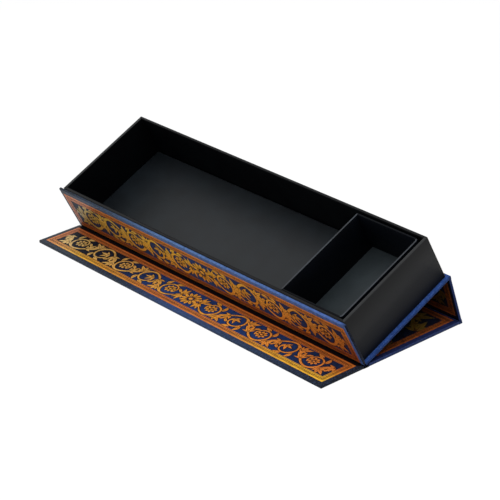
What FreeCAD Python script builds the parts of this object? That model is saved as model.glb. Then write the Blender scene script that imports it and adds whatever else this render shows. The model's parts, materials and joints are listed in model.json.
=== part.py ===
import FreeCAD, Part
import math
import os

# Rigid, book-style pen case: a black tray glued into a five-panel printed cover of front, base, spine, lid and flap.
# It is modelled in the pose of its open stand: lid and flap lie face down on the floor, the spine leans on the lid's
# back edge as a strut, and the front edge of the tilted base sits in the groove between lid and flap.
# Millimetres, +X along the case, +Y to the back, +Z up, origin under the middle of the stand.

# Tray: board, paper stays round its corners, black paper and a thick floor card
tray_length = 225.2
tray_depth = 60.8
tray_height = 27.7
tray_board_t = 1.2
tray_paper_t = 0.2
stay_t = 0.1
stay_leg = 9.0
floor_card_t = 2.2
floor_card_gap = 0.3

# Cover: board, printed paper and lining
cover_overhang = 2.4
tray_off_middle = 0.45
board_t = 1.0
wrap_t = 0.2
lining_t = 0.2
turn_in = 12.0
lining_margin = 3.5
flap_foot = 1.6

# Insert: a folded card band round a floor card, at the right-hand end of the tray
insert_length = 43.2
insert_card_t = 0.8
insert_corner_r = 2.0
insert_fold_r = 1.0
insert_end_gap = 2.3
insert_front_gap = 0.3
insert_back_gap = 1.1
insert_rim_drop = 0.6

# Closure: magnets sunk in the flap's board and steel keepers in the front board
magnet_d = 10.0
magnet_t = 0.8
magnet_inset = 45.0
magnet_from_hinge = 15.0

# Clearances of the closed case, and of the folds of the stand
spine_gap = 0.8
lid_gap = 0.4
flap_gap = 0.4
front_drop = 0.4
fold_gap = 0.3
groove_gap = 0.35
edge_ahead_of_hinge = 0.5
crease_r = 0.15

# Thicknesses. A hinge strip is wrap and lining alone, level with the inside of the panels that it joins,
# and it bends about a line on its outer face
panel_t = wrap_t + board_t + wrap_t + lining_t
front_t = wrap_t + board_t + wrap_t
strip_t = wrap_t + lining_t
axis_h = panel_t - strip_t
wall_t = tray_board_t + 2 * tray_paper_t

# Closed case, in the tray's frame: u runs back from the front panel's outer face, n up from the base's outer face
case_length = tray_length + 2 * cover_overhang
half_length = case_length / 2
tray_x = (tray_off_middle - tray_length / 2, tray_off_middle + tray_length / 2)
tray_u = (front_t, front_t + tray_depth)
tray_bottom_n = panel_t
tray_rim_n = tray_bottom_n + tray_height
floor_top_n = tray_bottom_n + tray_board_t
card_top_n = floor_top_n + floor_card_t
front_top_n = tray_rim_n - front_drop
base_axis_u = tray_u[1] + spine_gap + strip_t
lid_axis_n = tray_rim_n + lid_gap + strip_t
flap_axis_u = -flap_gap - strip_t
spine_span = lid_axis_n - axis_h
lid_span = base_axis_u - flap_axis_u
flap_span = lid_axis_n - flap_foot

# Open stand: base, spine and lid close a triangle, which gives the tilt of the base and the lean of the spine
spine_lid_y = (lid_span + flap_span - strip_t) / 2
lid_flap_y = spine_lid_y - lid_span
floor_axis_z = strip_t
front_edge_y = lid_flap_y - edge_ahead_of_hinge
front_edge_z = strip_t + groove_gap
reach_y = spine_lid_y - front_edge_y
reach_z = floor_axis_z - front_edge_z
reach = math.hypot(reach_y, reach_z)
base_arm = math.hypot(base_axis_u, axis_h)
arm_angle = math.acos((base_arm**2 + reach**2 - spine_span**2) / (2 * base_arm * reach))
tilt = arm_angle + math.atan2(reach_z, reach_y) - math.atan2(axis_h, base_axis_u)
base_spine_y = front_edge_y + base_axis_u * math.cos(tilt) - axis_h * math.sin(tilt)
base_spine_z = front_edge_z + base_axis_u * math.sin(tilt) + axis_h * math.cos(tilt)
spine_turn = math.atan2(floor_axis_z - base_spine_z, spine_lid_y - base_spine_y)
lid_turn = -math.pi

# Set-backs of the boards from the hinge lines, wide enough for the folds of the stand
spine_fold = spine_turn - tilt
lid_fold = lid_turn - spine_turn
base_set_back = axis_h / math.tan((math.pi + spine_fold) / 2) + fold_gap
lid_back_set_back = axis_h / math.tan((math.pi + lid_fold) / 2) + fold_gap
groove_depth = panel_t - front_edge_z
lid_front_set_back = (fold_gap + groove_depth * math.cos(tilt)) / math.sin(tilt) - edge_ahead_of_hinge
flap_set_back = (fold_gap + groove_depth * math.sin(tilt)) / math.cos(tilt) + edge_ahead_of_hinge


def slab(x, s, h):
    """Return a box from its (low, high) spans along the case, across the panel and through its thickness."""
    corner = FreeCAD.Vector(x[0], s[0], h[0])
    return Part.makeBox(x[1] - x[0], s[1] - s[0], h[1] - h[0], corner)


def centred(half):
    """Return the span that reaches half to each side of the middle."""
    return (-half, half)


def shrunk(span, margin):
    """Return the span with a margin taken off both ends."""
    return (span[0] + margin, span[1] - margin)


def turned(shape, axis, angle, y=0.0, z=0.0):
    """Return a copy of the shape, turned by angle about axis through its own origin, which then lies at (y, z)."""
    turn = FreeCAD.Rotation(FreeCAD.Vector(*axis), math.degrees(angle))
    moved = shape.copy()
    moved.Placement = FreeCAD.Placement(FreeCAD.Vector(0, y, z), turn).multiply(shape.Placement)
    return moved


def on_tray(shape):
    """Return a shape of the tray's frame in the tilted pose of the stand."""
    return turned(shape, (1, 0, 0), tilt, front_edge_y, front_edge_z)


def on_base_hinge(shape):
    """Return a shape that lies along the base, with its origin on the hinge between base and spine."""
    return turned(shape, (1, 0, 0), tilt, base_spine_y, base_spine_z)


def on_spine(shape):
    """Return a shape of the spine's frame, whose origin is its hinge to the base."""
    return turned(shape, (1, 0, 0), spine_turn, base_spine_y, base_spine_z)


def on_spine_hinge(shape):
    """Return a shape that lies along the spine, with its origin on the hinge between spine and lid."""
    return turned(shape, (1, 0, 0), spine_turn, spine_lid_y, floor_axis_z)


def on_lid(shape):
    """Return a shape of the lid's frame, whose origin is its hinge to the spine."""
    return turned(shape, (1, 0, 0), lid_turn, spine_lid_y, floor_axis_z)


def on_flap(shape):
    """Return a shape of the flap's frame, whose origin is its hinge to the lid."""
    return turned(shape, (1, 0, 0), lid_turn, lid_flap_y, floor_axis_z)


def upright(shape):
    """Return a flat panel stood on its start edge, so that its s runs up along n and its h back along u."""
    return turned(shape, (0, 1, 1), math.pi)


def wedge(first, second):
    """Return a prism along the case, over the triangle between the front lower edge and two (u, n) points."""
    points = [(0.0, 0.0), first, second, (0.0, 0.0)]
    outline = [FreeCAD.Vector(-half_length, u, n) for u, n in points]
    face = Part.Face(Part.makePolygon(outline))
    return face.extrude(FreeCAD.Vector(case_length, 0, 0))


def discs(middle_s, inner_h):
    """Return two discs whose inner faces lie at inner_h, level with the face of the board that holds them."""
    found = []
    for side in (-1, 1):
        low = FreeCAD.Vector(side * (half_length - magnet_inset), middle_s, inner_h - magnet_t)
        found.append(Part.makeCylinder(magnet_d / 2, magnet_t, low))
    return Part.makeCompound(found)


class Panel:
    """One cover panel, flat in its own frame: s runs across the panel, h from its outer to its inner face."""

    def __init__(self, start, end, outer_h, end_turned=False):
        self.s = (start, end)
        self.outer_h = outer_h
        self.board_h = (outer_h + wrap_t, outer_h + wrap_t + board_t)
        self.turn_h = (self.board_h[1], self.board_h[1] + wrap_t)
        self.lining_h = (self.turn_h[1], self.turn_h[1] + lining_t)
        self.end_turned = end_turned

    def inside(self, at_hinge, at_edge):
        """Return the span across the panel that keeps a margin from its hinges, and another from a free edge."""
        return (self.s[0] + at_hinge, self.s[1] - (at_edge if self.end_turned else at_hinge))

    def board(self):
        """Return the grey board."""
        return slab(centred(half_length - wrap_t), shrunk(self.s, wrap_t), self.board_h)

    def opening(self):
        """Return the space on the board's inner face that the turned-in wrap leaves free."""
        return slab(centred(half_length - turn_in), self.inside(wrap_t, turn_in), self.turn_h)

    def wrap(self):
        """Return the printed wrap: the outer face, the edges and the turned-in border."""
        skin = slab(centred(half_length), self.s, (self.outer_h, self.turn_h[1]))
        return skin.cut(self.board()).cut(self.opening())

    def lining(self):
        """Return the lining, which covers the turned-in border and presses down on the board inside it."""
        across = self.inside(0.0, lining_margin)
        sheet = slab(centred(half_length - lining_margin), across, self.lining_h)
        return sheet.fuse(self.opening()).removeSplitter()


def folded_strip(leg, fold):
    """Return a hinge strip with two equal legs, folded outwards by the angle fold about its origin.

    The first leg lies along -s. The strip's inner face runs round the fold as an arc about the hinge line.
    """
    def direction(angle):
        return FreeCAD.Vector(0, math.cos(angle), math.sin(angle))

    across = math.pi / 2
    hinge = FreeCAD.Vector(0, 0, 0)
    start = direction(math.pi) * leg
    end = direction(fold) * leg
    start_in = direction(across) * strip_t
    end_in = direction(across + fold) * strip_t
    middle_in = direction(across + fold / 2) * strip_t
    edges = [
        Part.makeLine(hinge, start),
        Part.makeLine(start, start + start_in),
        Part.makeLine(start + start_in, start_in),
        Part.Arc(start_in, middle_in, end_in).toShape(),
        Part.makeLine(end_in, end + end_in),
        Part.makeLine(end + end_in, end),
        Part.makeLine(end, hinge),
    ]
    strip = Part.Face(Part.Wire(edges)).extrude(FreeCAD.Vector(case_length, 0, 0))
    strip.translate(FreeCAD.Vector(-half_length, 0, 0))
    return strip


def flat_strip(before, after):
    """Return a hinge strip that lies flat, with a round crease along its hinge line."""
    strip = slab(centred(half_length), (-before, after), (0.0, strip_t))
    start = FreeCAD.Vector(-half_length, 0, 0)
    return strip.cut(Part.makeCylinder(crease_r, case_length, start, FreeCAD.Vector(1, 0, 0)))


def base_parts():
    """Return the base panel, mitred along the front lower edge; its lining starts behind the front panel."""
    base = Panel(0.0, base_axis_u - base_set_back, 0.0)
    mitre = wedge((0.0, panel_t), (panel_t, panel_t))
    behind_front = slab(centred(half_length), (front_t, base_axis_u), (0.0, panel_t))
    return {
        "base_board": on_tray(base.board().cut(mitre)),
        "base_wrap": on_tray(base.wrap().cut(mitre)),
        "base_lining": on_tray(base.lining().common(behind_front)),
    }


def front_parts():
    """Return the front panel, mitred to the base, with keepers where the closed flap's magnets come to lie."""
    front = Panel(0.0, front_top_n, 0.0, end_turned=True)
    mitre = wedge((front_t, 0.0), (front_t, front_t))
    keepers = discs(lid_axis_n - magnet_from_hinge, front.board_h[1])
    return {
        "front_board": on_tray(upright(front.board().cut(keepers)).cut(mitre)),
        "front_wrap": on_tray(upright(front.wrap()).cut(mitre)),
        "front_keepers": on_tray(upright(keepers)),
    }


def spine_parts():
    """Return the spine panel."""
    spine = Panel(base_set_back, spine_span - lid_back_set_back, -axis_h)
    return {
        "spine_board": on_spine(spine.board()),
        "spine_wrap": on_spine(spine.wrap()),
        "spine_lining": on_spine(spine.lining()),
    }


def lid_parts():
    """Return the lid panel."""
    lid = Panel(lid_back_set_back, lid_span - lid_front_set_back, -axis_h)
    return {
        "lid_board": on_lid(lid.board()),
        "lid_wrap": on_lid(lid.wrap()),
        "lid_lining": on_lid(lid.lining()),
    }


def flap_parts():
    """Return the flap panel and the magnets sunk in its board."""
    flap = Panel(flap_set_back, flap_span, -axis_h, end_turned=True)
    magnets = discs(magnet_from_hinge, flap.board_h[1])
    return {
        "flap_board": on_flap(flap.board().cut(magnets)),
        "flap_wrap": on_flap(flap.wrap()),
        "flap_lining": on_flap(flap.lining()),
        "flap_magnets": on_flap(magnets),
    }


def hinge_parts():
    """Return the three flexible strips, in the folds of the stand."""
    return {
        "base_spine_hinge": on_base_hinge(folded_strip(base_set_back, spine_fold)),
        "spine_lid_hinge": on_spine_hinge(folded_strip(lid_back_set_back, lid_fold)),
        "lid_flap_hinge": on_flap(flat_strip(lid_front_set_back, flap_set_back)),
    }


def corner_stays(board_x, board_u, board_n):
    """Return the four strips of paper that are bent round the upright corners of the tray's boards."""
    grown = slab(shrunk(board_x, -stay_t), shrunk(board_u, -stay_t), board_n)
    skin = grown.cut(slab(board_x, board_u, board_n))
    along = shrunk(board_x, stay_leg)
    across = shrunk(board_u, stay_leg)
    middle_x = slab(along, shrunk(board_u, -stay_t), board_n)
    middle_u = slab(shrunk(board_x, -stay_t), across, board_n)
    return skin.cut(middle_x).cut(middle_u)


def tray_parts():
    """Return the tray: five boards and their stays, the black paper over the walls, and the card on the floor."""
    rim_n = (tray_bottom_n, tray_rim_n)
    board_x = shrunk(tray_x, tray_paper_t)
    board_u = shrunk(tray_u, tray_paper_t)
    board_n = (tray_bottom_n, tray_rim_n - tray_paper_t)
    between_x = shrunk(board_x, tray_board_t)
    between_u = shrunk(board_u, tray_board_t)
    above_floor = (floor_top_n, tray_rim_n)

    shell = slab(tray_x, tray_u, rim_n).cut(slab(shrunk(tray_x, wall_t), shrunk(tray_u, wall_t), above_floor))
    boards = slab(board_x, board_u, board_n).cut(slab(between_x, between_u, above_floor))
    stays = corner_stays(board_x, board_u, board_n)
    card_margin = wall_t + floor_card_gap
    flat = {
        "tray_floor_board": slab(between_x, between_u, (tray_bottom_n, floor_top_n)),
        "tray_front_wall": slab(board_x, (board_u[0], between_u[0]), board_n),
        "tray_back_wall": slab(board_x, (between_u[1], board_u[1]), board_n),
        "tray_left_wall": slab((board_x[0], between_x[0]), between_u, board_n),
        "tray_right_wall": slab((between_x[1], board_x[1]), between_u, board_n),
        "tray_corner_stays": stays,
        "tray_paper": shell.cut(boards).cut(stays),
        "tray_floor_card": slab(
            shrunk(tray_x, card_margin), shrunk(tray_u, card_margin), (floor_top_n, card_top_n)
        ),
    }
    return {name: on_tray(shape) for name, shape in flat.items()}


def rounded_block(x, s, h, left_r, right_r):
    """Return a box whose edges along h are rounded, the two at its left end and the two at its right end apart."""
    block = slab(x, s, h)
    upright_edges = [edge for edge in block.Edges if edge.BoundBox.ZLength > (h[1] - h[0]) / 2]
    middle_x = (x[0] + x[1]) / 2
    left = [edge for edge in upright_edges if edge.BoundBox.Center.x < middle_x]
    right = [edge for edge in upright_edges if edge.BoundBox.Center.x > middle_x]
    return block.makeFillet(right_r, right).cut(block.cut(block.makeFillet(left_r, left)))


def insert_parts():
    """Return the insert: a card band, folded tight at the divider and rounded at the end, round a floor card."""
    right_x = tray_x[1] - wall_t - insert_end_gap
    outer_x = (right_x - insert_length, right_x)
    outer_u = (tray_u[0] + wall_t + insert_front_gap, tray_u[1] - wall_t - insert_back_gap)
    band_n = (card_top_n, tray_rim_n - insert_rim_drop)
    inner_x = shrunk(outer_x, insert_card_t)
    inner_u = shrunk(outer_u, insert_card_t)
    fold_in_r = insert_fold_r - insert_card_t
    corner_in_r = insert_corner_r - insert_card_t
    band = rounded_block(outer_x, outer_u, band_n, insert_fold_r, insert_corner_r)
    hollow = rounded_block(inner_x, inner_u, band_n, fold_in_r, corner_in_r)
    floor_n = (card_top_n, card_top_n + insert_card_t)
    return {
        "insert_band": on_tray(band.cut(hollow)),
        "insert_floor": on_tray(rounded_block(inner_x, inner_u, floor_n, fold_in_r, corner_in_r)),
    }


groups = (base_parts, front_parts, tray_parts, spine_parts, lid_parts, flap_parts, hinge_parts, insert_parts)
os.makedirs("parts", exist_ok=True)
for group in groups:
    for node, shape in group().items():
        shape.exportStep(f"parts/{node}.step")
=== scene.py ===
"""Dressed model of a book-style fountain pen case: a black paper tray in a printed wraparound cover.

Sizes in the classes are millimetres. Meshes are written in metres, in the frame that the case is packed in.
Every panel of the cover has local axes: x along the case, s across the panel, and h through it, from the
printed outside towards the lining.
"""

import json
import logging
import math
from dataclasses import dataclass, field
from enum import Enum, IntEnum
from typing import Any, Iterable, Optional, Sequence

import bmesh
import bpy
from mathutils import Matrix, Vector


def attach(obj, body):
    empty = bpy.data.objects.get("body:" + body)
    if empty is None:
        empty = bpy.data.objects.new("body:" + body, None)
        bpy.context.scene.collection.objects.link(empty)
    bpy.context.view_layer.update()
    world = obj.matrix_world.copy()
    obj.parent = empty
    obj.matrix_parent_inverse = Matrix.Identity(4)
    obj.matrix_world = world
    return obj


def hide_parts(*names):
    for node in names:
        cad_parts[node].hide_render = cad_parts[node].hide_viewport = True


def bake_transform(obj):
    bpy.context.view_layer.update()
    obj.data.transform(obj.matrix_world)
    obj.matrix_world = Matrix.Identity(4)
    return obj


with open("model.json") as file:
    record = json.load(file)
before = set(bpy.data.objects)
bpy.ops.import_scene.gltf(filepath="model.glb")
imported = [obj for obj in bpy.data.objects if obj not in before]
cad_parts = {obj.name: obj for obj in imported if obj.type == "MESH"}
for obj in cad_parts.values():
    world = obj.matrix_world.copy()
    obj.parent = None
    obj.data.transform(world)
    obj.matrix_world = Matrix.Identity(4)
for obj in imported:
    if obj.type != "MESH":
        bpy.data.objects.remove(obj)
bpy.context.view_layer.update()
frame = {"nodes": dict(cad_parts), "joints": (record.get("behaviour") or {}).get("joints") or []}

log = logging.getLogger("pen_case")

Tree = bpy.types.NodeTree
Socket = bpy.types.NodeSocket
Shape = bmesh.types.BMesh
Section = Sequence[tuple[float, float]]

MM = 0.001
RIGHT_ANGLE = math.pi / 2
HALF_CASE = 115.0

# A face looks along an axis when this share of its normal does, and points as close as this in mm are one
FACING = 0.9
TOUCHING = 1e-3

# Edges sharper than these many degrees stay crisp
PAPER_CRISP = 40.0
FOIL_CRISP = 60.0

# Kinds of node that the finishes use, and the sockets of the last one when it mixes colours
NOISE = "ShaderNodeTexNoise"
REMAP = "ShaderNodeMapRange"
MIX = "ShaderNodeMix"
MIX_A = 6
MIX_B = 7
MIX_RESULT = 2


def srgb(code: str) -> tuple[float, float, float, float]:
    """Turn an sRGB hex colour into linear light.

    Args:
        code: Six hex digits, such as "2c4a94".

    Returns:
        Linear red, green and blue, with an alpha of 1.
    """
    parts = [int(code[i : i + 2], 16) / 255 for i in (0, 2, 4)]
    linear = [c / 12.92 if c <= 0.04045 else ((c + 0.055) / 1.055) ** 2.4 for c in parts]
    return (linear[0], linear[1], linear[2], 1.0)


def per_mm(size: float) -> float:
    """Give the texture scale, in features per metre, of a pattern with features this many mm across."""
    return 1.0 / (size * MM)


def add_node(
    tree: Tree,
    kind: str,
    links: Optional[dict[Any, Any]] = None,
    stops: Sequence[tuple[float, str]] = (),
    **settings: Any,
) -> bpy.types.Node:
    """Add a node to a tree, set it up and wire it.

    Args:
        tree: The node tree that gets the node.
        kind: The node's type.
        links: For each input, by name or place, the socket to link or the value to set.
        stops: The places and hex colours of a colour ramp.
        settings: The node's own properties.

    Returns:
        The new node.
    """
    node = tree.nodes.new(kind)
    for key, value in settings.items():
        setattr(node, key, value)
    for key, value in (links or {}).items():
        if isinstance(value, Socket):
            tree.links.new(value, node.inputs[key])
        else:
            node.inputs[key].default_value = value
    for place, _ in stops[2:]:
        node.color_ramp.elements.new(place)
    for element, (place, code) in zip(node.color_ramp.elements if stops else (), stops):
        element.position = place
        element.color = srgb(code)
    return node


@dataclass(frozen=True)
class ColourRun:
    """A colour that runs along the case through stops: places in mm from its middle, with hex codes."""

    stops: tuple[tuple[float, str], ...]

    @classmethod
    def even(cls, *codes: str) -> "ColourRun":
        """Space colours evenly from the case's left end to its right."""
        step = 2 * HALF_CASE / (len(codes) - 1)
        return cls(tuple((i * step - HALF_CASE, code) for i, code in enumerate(codes)))

    @classmethod
    def at(cls, *stops: tuple[float, str]) -> "ColourRun":
        """Run through colours at places of their own, in mm from the middle of the case."""
        return cls(stops)

    def wire(self, tree: Tree, coords: Socket) -> Socket:
        """Wire the run of colour.

        Args:
            tree: The material's node tree.
            coords: The Object coordinates.

        Returns:
            The colour's socket.
        """
        first = self.stops[0][0]
        last = self.stops[-1][0]
        along = add_node(tree, "ShaderNodeSeparateXYZ", {"Vector": coords}).outputs["X"]
        reach = {"Value": along, "From Min": first * MM, "From Max": last * MM}
        share = add_node(tree, REMAP, reach).outputs["Result"]
        stops = [((place - first) / (last - first), code) for place, code in self.stops]
        return add_node(tree, "ShaderNodeValToRGB", {"Fac": share}, stops).outputs["Color"]


@dataclass(frozen=True)
class Finish:
    """A surface finish, which becomes one procedural material that pieces share.

    Its grain is smoother in the hollows, rougher on the tops, and stands up by a depth in mm.
    """

    name: str
    roughness: float = 0.5
    smoother: float = 0.1
    rougher: float = 0.1
    grain_depth: float = 0.02
    grain_strength: float = 0.3

    def material(self) -> bpy.types.Material:
        """Make the material once, and find it after that.

        Returns:
            The finish as a material.
        """
        found = bpy.data.materials.get(self.name)
        if found:
            return found
        made = bpy.data.materials.new(self.name)
        made.use_nodes = True
        tree = made.node_tree
        tree.nodes.clear()
        coords = add_node(tree, "ShaderNodeTexCoord").outputs["Object"]
        shader = add_node(tree, "ShaderNodeBsdfPrincipled", self.surface(tree, coords))
        add_node(tree, "ShaderNodeOutputMaterial", {"Surface": shader.outputs["BSDF"]})
        return made

    def surface(self, tree: Tree, coords: Socket) -> dict[str, Any]:
        """Wire the finish.

        Args:
            tree: The material's node tree.
            coords: The Object coordinates.

        Returns:
            What the shader's inputs get.
        """
        raise NotImplementedError

    def grained(self, tree: Tree, grain: Socket) -> dict[str, Any]:
        """Let a grain break the gloss and stand up from the surface.

        Args:
            tree: The material's node tree.
            grain: The grain's height, from 0 to 1.

        Returns:
            The shader's roughness, and its normal where the grain has a depth.
        """
        low = self.roughness - self.smoother
        high = self.roughness + self.rougher
        gloss = add_node(tree, REMAP, {"Value": grain, "To Min": low, "To Max": high})
        inputs = {"Roughness": gloss.outputs["Result"]}
        if self.grain_depth:
            relief = {"Height": grain, "Strength": self.grain_strength, "Distance": self.grain_depth * MM}
            inputs["Normal"] = add_node(tree, "ShaderNodeBump", relief).outputs["Normal"]
        return inputs


@dataclass(frozen=True)
class PrintedPaper(Finish):
    """Coated art paper, printed blue and matt laminated: cloudy ink, fine paper tooth and a satin sheen.

    The tooth is drawn coarser than life, so that it shows.
    """

    ink: ColourRun = ColourRun.even("141a26", "1a2748", "1c2c58")
    fleck: str = "4a5c8c"
    fleck_share: float = 0.25
    fleck_from: float = 0.5
    fleck_to: float = 0.72
    cloud_mm: float = 3.0
    cloud_detail: float = 5.0
    cloud_from: float = 0.3
    cloud_to: float = 0.7
    cloud_depth: float = 0.28
    tooth_mm: float = 0.45
    tooth_detail: float = 3.0
    gloss: float = 0.08
    grain_depth: float = 0.03
    grain_strength: float = 0.25

    def surface(self, tree: Tree, coords: Socket) -> dict[str, Any]:
        """Wire cloudy ink, light flecks and a fine tooth.

        Args:
            tree: The material's node tree.
            coords: The Object coordinates.

        Returns:
            What the shader's inputs get.
        """
        fine = {"Vector": coords, "Scale": per_mm(self.tooth_mm), "Detail": self.tooth_detail}
        slow = {"Vector": coords, "Scale": per_mm(self.cloud_mm), "Detail": self.cloud_detail}
        tooth = add_node(tree, NOISE, fine).outputs["Fac"]
        cloud = {
            "Value": add_node(tree, NOISE, slow).outputs["Fac"],
            "From Min": self.cloud_from,
            "From Max": self.cloud_to,
            "To Min": 1.0 - self.cloud_depth,
            "To Max": 1.0 + self.cloud_depth,
        }
        flecks = {
            "Value": tooth,
            "From Min": self.fleck_from,
            "From Max": self.fleck_to,
            "To Max": self.fleck_share,
        }
        depth = add_node(tree, REMAP, cloud).outputs["Result"]
        share = add_node(tree, REMAP, flecks).outputs["Result"]
        inked = {"Color": self.ink.wire(tree, coords), "Value": depth}
        ink = add_node(tree, "ShaderNodeHueSaturation", inked).outputs["Color"]
        mixed = {0: share, MIX_A: ink, MIX_B: srgb(self.fleck)}
        colour = add_node(tree, MIX, mixed, data_type="RGBA").outputs[MIX_RESULT]
        return {"Base Color": colour, "Specular IOR Level": self.gloss, **self.grained(tree, tooth)}


@dataclass(frozen=True)
class StampedFoil(Finish):
    """Tinted metal foil, hot stamped on paper: warm lacquer over metal, broken by the paper's tooth.

    Where it has a glow, its colour runs over to a brighter one between two places across the case, in mm:
    painted light, brighter towards the case's front.
    """

    metal: ColourRun = ColourRun.even("dcc07a", "d8942e", "cf7a32")
    shade: str = "6a3410"
    shade_share: float = 0.6
    streak_mm: float = 1.5
    streak_detail: float = 3.0
    streak_from: float = 0.46
    streak_to: float = 0.66
    drawn_out: float = 0.4
    crinkle_mm: float = 0.6
    crinkle_detail: float = 2.0
    roughness: float = 0.4
    rougher: float = 0.12
    metallic: float = 0.3
    glow: Optional[ColourRun] = None
    glow_from: float = -30.0
    glow_to: float = -42.0

    def surface(self, tree: Tree, coords: Socket) -> dict[str, Any]:
        """Wire the metal's tint, its rubbed streaks, its crinkle and its polish.

        Args:
            tree: The material's node tree.
            coords: The Object coordinates.

        Returns:
            What the shader's inputs get.
        """
        along = {"Vector": coords, "Scale": (self.drawn_out, 1.0, 1.0)}
        streaks = {
            "Vector": add_node(tree, "ShaderNodeMapping", along).outputs["Vector"],
            "Scale": per_mm(self.streak_mm),
            "Detail": self.streak_detail,
        }
        rubbed = {
            "Value": add_node(tree, NOISE, streaks).outputs["Fac"],
            "From Min": self.streak_from,
            "From Max": self.streak_to,
            "To Max": self.shade_share,
        }
        fine = {"Vector": coords, "Scale": per_mm(self.crinkle_mm), "Detail": self.crinkle_detail}
        crinkle = add_node(tree, NOISE, fine).outputs["Fac"]
        share = add_node(tree, REMAP, rubbed).outputs["Result"]
        mixed = {0: share, MIX_A: self.tint(tree, coords), MIX_B: srgb(self.shade)}
        colour = add_node(tree, MIX, mixed, data_type="RGBA").outputs[MIX_RESULT]
        return {"Base Color": colour, "Metallic": self.metallic, **self.grained(tree, crinkle)}

    def tint(self, tree: Tree, coords: Socket) -> Socket:
        """Wire the metal's tint, with the glow's painted light towards the front edge.

        Args:
            tree: The material's node tree.
            coords: The Object coordinates.

        Returns:
            The tint's socket.
        """
        plain = self.metal.wire(tree, coords)
        if not self.glow:
            return plain
        across = add_node(tree, "ShaderNodeSeparateXYZ", {"Vector": coords}).outputs["Y"]
        reach = {"Value": across, "From Min": self.glow_from * MM, "From Max": self.glow_to * MM}
        share = add_node(tree, REMAP, reach).outputs["Result"]
        mixed = {0: share, MIX_A: plain, MIX_B: self.glow.wire(tree, coords)}
        return add_node(tree, MIX, mixed, data_type="RGBA").outputs[MIX_RESULT]


@dataclass(frozen=True)
class FibrePaper(Finish):
    """Dyed paper or pressed board: matt, with felted fibres that give a soft speckle and a fine tooth.

    The fibres are drawn coarser than life, so that they show.
    """

    dark: str = "08090a"
    light: str = "121416"
    fibre_mm: float = 0.5
    fibre_detail: float = 4.0
    cloud_mm: float = 12.0
    cloud_detail: float = 2.0
    speckle_from: float = 0.7
    speckle_to: float = 1.3
    roughness: float = 0.6
    smoother: float = 0.08
    rougher: float = 0.08
    gloss: float = 0.5

    def surface(self, tree: Tree, coords: Socket) -> dict[str, Any]:
        """Wire the speckle of fibres over slow clouds of dye.

        Args:
            tree: The material's node tree.
            coords: The Object coordinates.

        Returns:
            What the shader's inputs get.
        """
        fine = {"Vector": coords, "Scale": per_mm(self.fibre_mm), "Detail": self.fibre_detail}
        slow = {"Vector": coords, "Scale": per_mm(self.cloud_mm), "Detail": self.cloud_detail}
        fibre = add_node(tree, NOISE, fine).outputs["Fac"]
        cloud = add_node(tree, NOISE, slow).outputs["Fac"]
        speckle = add_node(tree, "ShaderNodeMath", {0: fibre, 1: cloud}, operation="ADD").outputs["Value"]
        reach = {"Value": speckle, "From Min": self.speckle_from, "From Max": self.speckle_to}
        share = add_node(tree, REMAP, reach).outputs["Result"]
        mixed = {0: share, MIX_A: srgb(self.dark), MIX_B: srgb(self.light)}
        colour = add_node(tree, MIX, mixed, data_type="RGBA").outputs[MIX_RESULT]
        return {"Base Color": colour, "Specular IOR Level": self.gloss, **self.grained(tree, fibre)}


@dataclass(frozen=True)
class PlatedMetal(Finish):
    """Plated or rolled metal: bright, with fine rolling lines along the case."""

    dark: str = "8c8c8a"
    light: str = "b8b6b0"
    line_mm: float = 0.3
    line_detail: float = 2.0
    drawn_out: float = 0.1
    roughness: float = 0.3
    smoother: float = 0.08
    grain_depth: float = 0.0

    def surface(self, tree: Tree, coords: Socket) -> dict[str, Any]:
        """Wire rolling lines, drawn out along the case.

        Args:
            tree: The material's node tree.
            coords: The Object coordinates.

        Returns:
            What the shader's inputs get.
        """
        along = {"Vector": coords, "Scale": (self.drawn_out, 1.0, 1.0)}
        rolled = {
            "Vector": add_node(tree, "ShaderNodeMapping", along).outputs["Vector"],
            "Scale": per_mm(self.line_mm),
            "Detail": self.line_detail,
        }
        lines = add_node(tree, NOISE, rolled).outputs["Fac"]
        mixed = {0: lines, MIX_A: srgb(self.dark), MIX_B: srgb(self.light)}
        colour = add_node(tree, MIX, mixed, data_type="RGBA").outputs[MIX_RESULT]
        return {"Base Color": colour, "Metallic": 1.0, **self.grained(tree, lines)}


def edge_paper(name: str, ink: ColourRun, fleck: str, share: float = 0.45) -> PrintedPaper:
    """Give the blue paper where it is turned over a board's edge, rubbed, with a coarser tooth.

    Args:
        name: The material's name.
        ink: The ink along the case.
        fleck: The hex colour of the rubbed flecks.
        share: How much of the flecks' colour shows.

    Returns:
        The finish.
    """
    return PrintedPaper(
        name, ink=ink, fleck=fleck, fleck_share=share, cloud_mm=1.8, tooth_mm=0.8, roughness=0.42
    )


# Black papers and cards of tray, insert and lining: matt, with painted shade deepest on the tray's inner
# walls and painted highlights greying the rims at the ends of tray and insert
TRAY_PAPER = FibrePaper("black_laid_paper", dark="020203", light="0a0b0d", roughness=0.55, gloss=0.2)
# The tray's inside: the same black paper, darker as painted shade
WELL_PAPER = FibrePaper("black_paper_inside_painted_shade", dark="000001", light="020304", gloss=0.04)
# The rim at the tray's two ends: greyer as a painted highlight
RIM_PAPER = FibrePaper(
    "black_paper_rim_painted_highlight", dark="0a0b0c", light="1a1c1e", fibre_mm=0.4, roughness=0.5, gloss=0.4
)
FLOOR_CARD = FibrePaper(
    "black_matt_card", dark="080b0e", light="11161a", fibre_mm=0.7, roughness=0.52, gloss=0.4
)
INSERT_CARD = FibrePaper(
    "black_dyed_card", dark="010204", light="03050a", fibre_mm=0.6, roughness=0.55, gloss=0.08
)
# The cut edges at the insert's ends: greyer as a painted highlight
INSERT_RIM = FibrePaper("black_card_rim_painted_highlight", dark="10141a", light="2a3038", fibre_mm=0.4, roughness=0.5)
INSERT_FLOOR = FibrePaper("black_dyed_sheet", dark="1a1f22", light="252b2e", fibre_mm=0.6, roughness=0.5)
LINING_PAPER = FibrePaper("black_lining_paper", dark="0a0a0b", light="15161a", roughness=0.55)

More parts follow.
